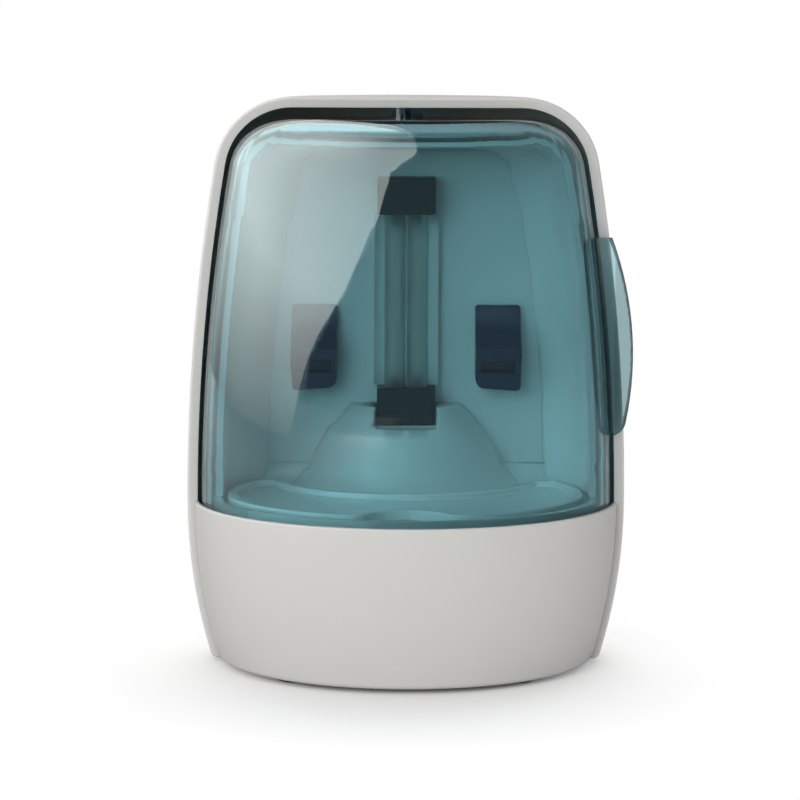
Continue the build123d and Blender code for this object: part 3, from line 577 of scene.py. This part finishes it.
for y in (-cell_pitch, 0, cell_pitch):
    for side in (-1, 1):
        spot = Vector((side * (plate_x - plate_sheet / 2), y, cell_z)) * mm
        sized = Vector((plate_sheet, *plate_size)) * mm
        bmesh.ops.create_cube(sheets, size=1.0, matrix=Matrix.LocRotScale(spot, None, sized))
sheet_mesh = bpy.data.meshes.new("contact_sheets")
sheets.to_mesh(sheet_mesh)
sheets.free()
contacts = new_object("contacts", sheet_mesh, nickel_steel)
rounding = contacts.modifiers.new("edges", "BEVEL")
rounding.width = 0.12 * mm
rounding.segments = 2
plain_mesh(contacts)
stand_in(join(contacts, springs, dimples), "cell_contacts")

# ------------------------------------------------------------------ screws
# Pan head screws with a cross recess, rolled from steel and zinc plated, which shines pale and
# soft. Their thread cuts its own way into the plastic posts. The tree makes one screw and puts
# a copy at each place. Its head is made one unit wide and high, and then sized.
screw, taken, out = new_tree("pan_screw", Length="Float", Head_Radius="Float", Head_Height="Float",
                             Shank_Radius="Float", Pitch="Float", Material="Material")
round_path = add(screw, "GeometryNodeCurvePrimitiveCircle", Resolution=40, Radius=1.0)
dome_top = add(screw, "GeometryNodeCurveQuadraticBezier", Resolution=12, Start=(-1, 1, 0),
               Middle=(-0.1, 1.02, 0), End=(0, 0.3, 0))
rim_side = add(screw, "GeometryNodeCurvePrimitiveLine", Start=(0, 0.3, 0), End=(0, 0, 0))
under = add(screw, "GeometryNodeCurvePrimitiveLine", Start=(0, 0, 0), End=(-1, 0, 0))
profile = add(screw, "GeometryNodeJoinGeometry")
for each in (under, rim_side, dome_top):
    screw.links.new(each.outputs[0], profile.inputs[0])
head = add(screw, "GeometryNodeCurveToMesh", {"Curve": round_path.outputs[0],
                                              "Profile Curve": profile.outputs[0]})
head = add(screw, "GeometryNodeMergeByDistance", {"Geometry": head.outputs[0]}, Distance=0.001)
arm = add(screw, "GeometryNodeMeshCube", Size=(1.15, 0.22, 1.1))
cross_arm = add(screw, "GeometryNodeMeshCube", Size=(0.22, 1.15, 1.1))
arms = add(screw, "GeometryNodeMeshBoolean", operation="UNION", solver="EXACT")
screw.links.new(arm.outputs[0], arms.inputs["Mesh 2"])
screw.links.new(cross_arm.outputs[0], arms.inputs["Mesh 2"])
sunk = add(screw, "GeometryNodeTransform", {"Geometry": arms.outputs[0]},
           Translation=(0, 0, -1))
cut = add(screw, "GeometryNodeMeshBoolean", {"Mesh 1": head.outputs[0], "Mesh 2": sunk.outputs[0]},
          operation="DIFFERENCE", solver="EXACT")
spread = add(screw, "ShaderNodeCombineXYZ", {"X": taken.outputs["Head Radius"],
                                             "Y": taken.outputs["Head Radius"],
                                             "Z": taken.outputs["Head Height"]})
head = add(screw, "GeometryNodeTransform", {"Geometry": cut.outputs[0],
                                            "Scale": spread.outputs[0]})

core_share = 0.83            # radius of the shank under its thread, as a share of the whole
tip_share = 0.14             # length of the tip, as a share of the whole
tip_ends = (0.97, 0.3)       # its radius at both ends, as a share of the shank's
tip_sunk = 0.05              # mm that it starts inside the shank
core = add(screw, "ShaderNodeMath", {0: taken.outputs["Shank Radius"], 1: core_share},
           operation="MULTIPLY")
straight = add(screw, "ShaderNodeMath", {0: taken.outputs["Length"], 1: 1 - tip_share},
               operation="MULTIPLY")
point = add(screw, "ShaderNodeMath", {0: taken.outputs["Length"], 1: tip_share},
            operation="MULTIPLY")
wide = add(screw, "ShaderNodeMath", {0: core.outputs[0], 1: tip_ends[0]}, operation="MULTIPLY")
narrow = add(screw, "ShaderNodeMath", {0: core.outputs[0], 1: tip_ends[1]}, operation="MULTIPLY")
shank = add(screw, "GeometryNodeMeshCone",
            {"Radius Top": core.outputs[0], "Radius Bottom": core.outputs[0],
             "Depth": straight.outputs[0]}, Vertices=20)
tip = add(screw, "GeometryNodeMeshCone",
          {"Radius Top": narrow.outputs[0], "Radius Bottom": wide.outputs[0],
           "Depth": point.outputs[0]}, Vertices=20)
start = add(screw, "ShaderNodeMath", {0: straight.outputs[0], 1: tip_sunk * mm},
            operation="SUBTRACT")
rise = add(screw, "ShaderNodeCombineXYZ", {"Z": start.outputs[0]})
tip = add(screw, "GeometryNodeTransform", {"Geometry": tip.outputs[0],
                                           "Translation": rise.outputs[0]})
turns = add(screw, "ShaderNodeMath", {0: straight.outputs[0], 1: taken.outputs["Pitch"]},
            operation="DIVIDE")
helix = add(screw, "GeometryNodeCurveSpiral", {"Rotations": turns.outputs[0],
                                               "Start Radius": core.outputs[0],
                                               "End Radius": core.outputs[0],
                                               "Height": straight.outputs[0]}, Resolution=20)
ridge = add(screw, "ShaderNodeMath", {0: taken.outputs["Shank Radius"], 1: core.outputs[0]},
            operation="SUBTRACT")
ridge = add(screw, "GeometryNodeCurvePrimitiveCircle", {"Radius": ridge.outputs[0]}, Resolution=4)
thread = add(screw, "GeometryNodeCurveToMesh", {"Curve": helix.outputs[0],
                                                "Profile Curve": ridge.outputs[0]}, Fill_Caps=True)
one = add(screw, "GeometryNodeJoinGeometry")
for each in (head, shank, tip, thread):
    screw.links.new(each.outputs[0], one.inputs[0])
way = add(screw, "GeometryNodeInputNamedAttribute", Name="way", data_type="FLOAT_VECTOR")
copies = add(screw, "GeometryNodeInstanceOnPoints",
             {"Points": taken.outputs["Geometry"], "Instance": one.outputs[0],
              "Rotation": way.outputs[0]})
end_tree(screw, copies.outputs[0], taken, out)

zinc_steel = metal("zinc_plated_steel", "#B9BAB8", 0.3, grain=0.3, rise=0.01)
post_x, post_y = 29.25, 11.0
post_spots = [(x, y) for x in (-post_x, post_x) for y in (-post_y, post_y)]
core_ring = 34.2
core_spots = [(core_ring * math.cos(math.radians(a)), core_ring * math.sin(math.radians(a)))
              for a in (52, 90, 128)]
# Each group: length, height of the head, and the place and turn of each screw.
screw_groups = {
    "base_screws": (9.0, 1.5, [((x, y, 2.3), (0, 0, 20)) for x, y in post_spots]),
    "deck_screws": (8.0, 1.5, [((x, y, 28.5), (180, 0, 35)) for x, y in post_spots]),
    "core_screws": (10.0, 1.5, [((x, y, 30.0), (0, 0, 50)) for x, y in core_spots]),
    "hook_screws": (5.0, 1.5, [((x, 23.5, 62.5), (90, 15, 0)) for x in (-18.8, 18.8)]),
    "battery_cover_screw": (6.0, 1.3, [((28.05, 0, 1.4), (0, 0, 30))]),
}
for name, (length, high, places) in screw_groups.items():
    screws = grow(name, stations(name, places), screw, Length=length * mm, Head_Radius=2.2 * mm,
                  Head_Height=high * mm, Shank_Radius=1.2 * mm, Pitch=1.0 * mm,
                  Material=zinc_steel)
    stand_in(screws, name, sharp=35)

# ------------------------------------------------------------------ base front and back shell
# The two large mouldings of the case: a bowl-shaped front and a tall shell behind it. They
# come from the same eroded tool and the same satin white ABS as the plate.
for name in ("back_shell", "base_front"):
    finished_copy(name, white_abs)

# ------------------------------------------------------------------ chamber liner
# Floor, back wall and lamp boss are one moulding of gloss white ABS from a polished tool, so
# that it wipes clean and throws the lamp's light back on what stands in the chamber.
gloss_abs = moulded("gloss_white_abs", "#E2E3E1", 0.2, rise=0.004)
finished_copy("chamber_liner", gloss_abs)

# ------------------------------------------------------------------ core cover
# Side walls and ceiling of the chamber are one round moulding of the same plastic, drawn as
# the tool cuts it: one outline turned half way round, with three screw posts. Its colour is a
# shade lighter than the liner's, to match how bright the photo shows its sides: painted light.
case_radius = 43.0
lip_height = 32.0
side_arc = 400.0             # bow of the sides above the lip
cover_front = -4.1           # y of its flat front end
cover_low = 33.0
cover_top = 104.2
cover_inset = 5.4            # its outer face, in from the side of the case
cover_wall = 1.4
cover_shoulder = 8.1


def side_x(z, inset):
    """Radius of the case's sides at height z, moved in by inset."""
    drop = math.sqrt((side_arc - inset) ** 2 - (z - lip_height) ** 2)
    return case_radius - side_arc + drop


def dome_outline(inset, top, shoulder, low, steps=20):
    """Points up the side from low, round the shoulder and across the roof to the axis. The
    roof has points on the way, so that its faces stay even.
    """
    centre = case_radius - side_arc
    bend_z = top - shoulder
    bend_x = centre + math.sqrt((side_arc - inset - shoulder) ** 2 - (bend_z - lip_height) ** 2)
    turn = math.atan2(bend_z - lip_height, bend_x - centre)
    join_z = bend_z + shoulder * math.sin(turn)
    side = [low + (join_z - low) * i / steps for i in range(steps)]
    angles = [turn + (math.pi / 2 - turn) * i / steps for i in range(steps + 1)]
    bend = [(bend_x + shoulder * math.cos(a), bend_z + shoulder * math.sin(a)) for a in angles]
    return [(side_x(z, inset), z) for z in side] + bend + [(20, top), (10, top),
                                                            (-cover_front, top), (0, top)]


outside = dome_outline(cover_inset, cover_top, cover_shoulder, cover_low)
inside = dome_outline(cover_inset + cover_wall, cover_top - cover_wall,
                      cover_shoulder - cover_wall, cover_low)
# Painted light: the cover is drawn lighter than the liner, which brightens the chamber's sides.
cover_abs_painted_light = moulded("gloss_white_cover_abs", "#F5F6F4", 0.2, rise=0.004)
core_cover = turn_outline("core_cover", outside + inside[::-1] + outside[:1], cover_abs_painted_light, 96,
                          0.0, math.pi, cover_front)
closed = bmesh.new()
closed.from_mesh(core_cover.data)
open_edges = [edge for edge in closed.edges if edge.is_boundary]
bmesh.ops.triangle_fill(closed, edges=open_edges, use_beauty=True)
bmesh.ops.recalc_face_normals(closed, faces=closed.faces)
closed.to_mesh(core_cover.data)
closed.free()
post_outline = [(0, 0), (2.4, 0), (2.4, 8.6), (2.0, 9), (0, 9)]
cover_posts = turn_outline("cover_posts", post_outline, cover_abs_painted_light, 32)
set_out(cover_posts, [at(x, y, cover_low) for x, y in core_spots])
stand_in(join(core_cover, cover_posts), "core_cover", sharp=30)

# ------------------------------------------------------------------ drip tray
# A shallow loose dish of the same white ABS, with a finger scallop in front. Its colour is a
# shade lighter than the liner's: painted light, which makes the dish brighter.
tray_abs_painted_light = moulded("gloss_white_tray_abs", "#F2F3F1", 0.18, rise=0.004)
finished_copy("drip_tray", tray_abs_painted_light, "tray", edge=0.45, steps=3)

# ------------------------------------------------------------------ lamp caps
# Black glass-filled polyamide with a dull, slightly rough finish. Pegs behind them pass
# through the wall of the liner.
black_nylon = moulded("black_polyamide", "#0E1519", 0.45, rise=0.03)
for name in ("lamp_cap_lower", "lamp_cap_upper"):
    finished_copy(name, black_nylon, edge=0.3)


# ------------------------------------------------------------------ lamp tubes
# Two straight tubes of drawn quartz glass, slightly milky, with a coil of tungsten on a stem
# sealed into each end.
haze_size = 4.0              # mm between the dull and the bright spots of a clear surface
fin_edge = 0.4               # mm over which a fin's colour starts


def clear_stuff(name, skin, colour, density, roughness, ior, shadow, fin=None):
    """Clear glass or plastic: tinted at its faces, and deeper with its thickness. Shadow tints
    the lamps' light behind it, and is matched to the photo apart from the skin. A fin is
    given as its own skin colour, and the distance in mm from the axis where it starts.
    """
    made, tree, out = new_material(name)
    where = add(tree, "ShaderNodeTexCoord").outputs["Object"]
    fine = add(tree, "ShaderNodeTexNoise", {"Vector": where}, Scale=1 / (haze_size * mm),
               Detail=3.0)
    rough = add(tree, "ShaderNodeMapRange", {"Value": fine.outputs["Fac"],
                                             "To Min": roughness * 0.5,
                                             "To Max": roughness * 1.5})
    surface = add(tree, "ShaderNodeBsdfPrincipled", {"Transmission Weight": 1.0,
                                                     "Roughness": rough.outputs[0]},
                  Base_Color=linear(skin), IOR=ior)
    if fin:
        flat = add(tree, "ShaderNodeVectorMath", {0: where, 1: (1.0, 1.0, 0.0)},
                   operation="MULTIPLY")
        far = add(tree, "ShaderNodeVectorMath", {0: flat.outputs[0]}, operation="LENGTH")
        past = add(tree, "ShaderNodeMapRange", {"Value": far.outputs["Value"],
                                                "From Min": fin[1] * mm,
                                                "From Max": (fin[1] + fin_edge) * mm})
        tone = add(tree, "ShaderNodeMix", {0: past.outputs[0], 6: linear(skin),
                                           7: linear(fin[0])}, data_type="RGBA")
        tree.links.new(tone.outputs[2], surface.inputs["Base Color"])
    through = add(tree, "ShaderNodeBsdfTransparent", Color=linear(shadow))
    rays = add(tree, "ShaderNodeLightPath")
    mixed = add(tree, "ShaderNodeMixShader", {0: rays.outputs["Is Shadow Ray"],
                                              1: surface.outputs[0], 2: through.outputs[0]})
    inside = add(tree, "ShaderNodeVolumeAbsorption", Color=linear(colour), Density=density)
    tree.links.new(mixed.outputs[0], out.inputs["Surface"])
    tree.links.new(inside.outputs[0], out.inputs["Volume"])
    return made


quartz = clear_stuff("quartz_glass", "#FFFFFF", "#DDF0EA", 60, 0.55, 1.46, "#F4F8F6")
finished_copy("lamp_tubes", quartz)

tungsten = metal("drawn_tungsten", "#8E8B86", 0.4, grain=0.2)
tube_x, tube_y = 2.25, 17.4
tube_low, tube_high = 49.3, 90.1
filament_start = 2.6         # from the end of the tube
stem_outline = [(0, 0), (0.9, 0), (0.9, 0.8), (0.35, 1.3), (0.35, 3.6), (0, 3.6)]
ends = [(x, z, way) for x in (-tube_x, tube_x) for z, way in ((tube_low, 0), (tube_high, 180))]
filament_spots = [((x, tube_y, z + (filament_start if way == 0 else -filament_start)), (way, 0, 0))
                  for x, z, way in ends]
filaments = grow("filaments", stations("filament_places", filament_spots), coil, Turns=9.0,
                 Start_Radius=0.75 * mm, End_Radius=0.75 * mm, Height=2.7 * mm, Wire=0.11 * mm,
                 Material=tungsten)
stems = turn_outline("stems", stem_outline, tungsten, 20)
set_out(stems, [at(x, tube_y, z, way) for x, z, way in ends])
stand_in(join(stems, filaments), "lamp_electrodes")

# ------------------------------------------------------------------ reflector
# A strip of rolled aluminium with both long sides bent forward. The rolling leaves fine lines
# along it. The photo shows no mirror image in it, so it is guessed to be anodised and milky,
# and its oxide share is matched to the photo.
bright_sheet = metal("anodised_rolled_aluminium", "#EEF1F0", 0.36, grain=0.25,
                     stretch=(1, 1, 0.05), rise=0.01, oxide=0.6)
finished_copy("lamp_reflector", bright_sheet, edge=0.1)

# ------------------------------------------------------------------ holders
# Two navy ABS holders on the back wall, polished, each with a slot that a pacifier's ring
# slips into from the front. A screw from behind holds each.
navy_abs = moulded("polished_navy_abs", "#121F42", 0.22, grain=1.0, rise=0.004)
for name in ("hook_left", "hook_right"):
    finished_copy(name, navy_abs, edge=0.2)

# ------------------------------------------------------------------ door
# The door is one moulding of clear teal polycarbonate, 2 mm thick, polished on both faces.
# Light that passes through it twice comes back deep teal. The fin that serves as its handle
# is no thicker than the wall. It is tinted deeper only because the photo shows it so.
teal_polycarbonate = clear_stuff("clear_teal_polycarbonate", "#BBD8DE", "#79C9D2", 130, 0.02, 1.58,
                                 "#DDEEF0", ("#A4B9BB", 40.9))
finished_copy("door", teal_polycarbonate, "door", sharp=25)

# ------------------------------------------------------------------ magnet
# A small bar of sintered magnet, nickel plated, glued into the door's lower edge.
bright_nickel = metal("bright_nickel_plate", "#D2CEC6", 0.15, grain=0.5)
finished_copy("door_magnet", bright_nickel, "door", edge=0.15)

# ------------------------------------------------------------------ lamp drive
# The inverter board stands off the liner's wall: green glass-filled laminate, a ferrite
# transformer with a coil of enamelled copper, and two small cans.


def laminate(name, colour, weave):
    """Glass-filled board under a green solder mask: the weave, in mm, shows faintly."""
    made, tree, out = new_material(name)
    where = add(tree, "ShaderNodeTexCoord").outputs["Object"]
    cloth = add(tree, "ShaderNodeTexWave", {"Vector": where}, Scale=1 / (weave * mm),
                Distortion=0.5, bands_direction="X")
    cross = add(tree, "ShaderNodeTexWave", {"Vector": where}, Scale=1 / (weave * mm),
                Distortion=0.5, bands_direction="Z")
    woven = add(tree, "ShaderNodeMath", {0: cloth.outputs["Fac"], 1: cross.outputs["Fac"]},
                operation="MULTIPLY")
    pale = [c * 1.35 for c in linear(colour)[:3]] + [1.0]
    tone = add(tree, "ShaderNodeMix", {0: woven.outputs[0], 6: linear(colour), 7: pale},
               data_type="RGBA")
    bump = add(tree, "ShaderNodeBump", {"Height": woven.outputs[0]}, Strength=0.2,
               Distance=0.02 * mm)
    surface = add(tree, "ShaderNodeBsdfPrincipled", {"Base Color": tone.outputs[2],
                                                     "Normal": bump.outputs[0]},
                  Roughness=0.35, IOR=1.55)
    tree.links.new(surface.outputs[0], out.inputs["Surface"])
    return made


board_laminate = laminate("green_masked_laminate", "#1F5A3A", 0.8)
finished_copy("inverter_board", board_laminate, edge=0.1)
finished_copy("control_board", board_laminate, edge=0.1)

ferrite = moulded("sintered_ferrite", "#2B2A2B", 0.6, grain=0.12, rise=0.03)
enamelled_copper = metal("enamelled_copper", "#A8552B", 0.3, grain=0.4)
finished_copy("transformer", ferrite, edge=0.2)
winding_place = (0, 28.45, 54.0)
winding = grow("winding", stations("winding_place", [(winding_place, (-90, 0, 0))]), coil,
               Turns=17.0, Start_Radius=2.86 * mm, End_Radius=2.86 * mm, Height=5.3 * mm,
               Wire=0.14 * mm, Material=enamelled_copper)
winding.name = "transformer_winding"
winding.data.shade_smooth()
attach(winding, "case")

can_outline = [(0, 0), (2.1, 0), (2.35, 0.15), (2.45, 0.5), (2.25, 0.9), (2.45, 1.3), (2.5, 1.7),
               (2.5, 5.5), (2.4, 5.85), (2.1, 6.0), (1.9, 5.95), (1.8, 5.85), (0, 5.85)]
can_y = 27.1
can_end, can_bare = 5.8, 2.0    # the sleeve leaves this much of the top bare
can_sleeve = moulded("capacitor_sleeve_film", "#151C33", 0.3, grain=1.5, rise=0.01)
cans = turn_outline("cans", can_outline, can_sleeve, 40)
cans.data.materials.append(nickel_steel)
for face in cans.data.polygons:
    centre = face.center / mm
    face.material_index = 1 if centre.z > can_end and centre.xy.length < can_bare else 0
stand_in(set_out(cans, [at(0, can_y, z, -90) for z in (66.0, 73.0)]), "capacitors")

# ------------------------------------------------------------------ switch, inlet and button
# Black moulded housings on the control board, and a grey ABS button that pokes out of the
# back of the case. The button's plunger presses the switch.
for name in ("tact_switch", "power_inlet"):
    finished_copy(name, black_nylon, edge=0.15)
grey_abs = moulded("satin_grey_abs", "#9C9FA1", 0.35)
finished_copy("power_button", grey_abs, "button", edge=0.25)
finished_copy("switch_plunger", grey_abs, "button", edge=0.3)

# ------------------------------------------------------------------ reed switch
# A glass capsule on a shelf beside the door's groove, with a flat iron blade from each end.
reed_place = at(-34.6, 0, 28.6, 90)
reed_glass = clear_stuff("reed_switch_glass", "#FFFFFF", "#CDE7C9", 300, 0.03, 1.5, "#F4F8F4")
capsule = [(0.3, -6.5), (0.7, -6.45), (1.0, -6.1), (1.1, -5.5), (1.1, 5.5), (1.0, 6.1), (0.7, 6.45),
           (0.3, 6.5), (0.3, 6.2), (0.6, 5.9), (0.8, 5.2), (0.8, -5.2), (0.6, -5.9), (0.3, -6.2),
           (0.3, -6.5)]
reed = turn_outline("reed", capsule, reed_glass, 32)
lead = [(0, -9.5), (0.25, -9.5), (0.3, -9.4), (0.3, -2.2), (0.22, -1.2), (0.22, -0.15), (0, -0.15)]
leads = turn_outline("leads", lead, nickel_steel, 16)
set_out(leads, [at(0, 0, 0), at(0, 0, 0, 180)])
reed.data.materials.append(nickel_steel)
glass_faces = len(reed.data.polygons)
join(reed, leads)
for number, face in enumerate(reed.data.polygons):
    face.material_index = 0 if number < glass_faces else 1
stand_in(set_out(reed, [reed_place]), "reed_switch")
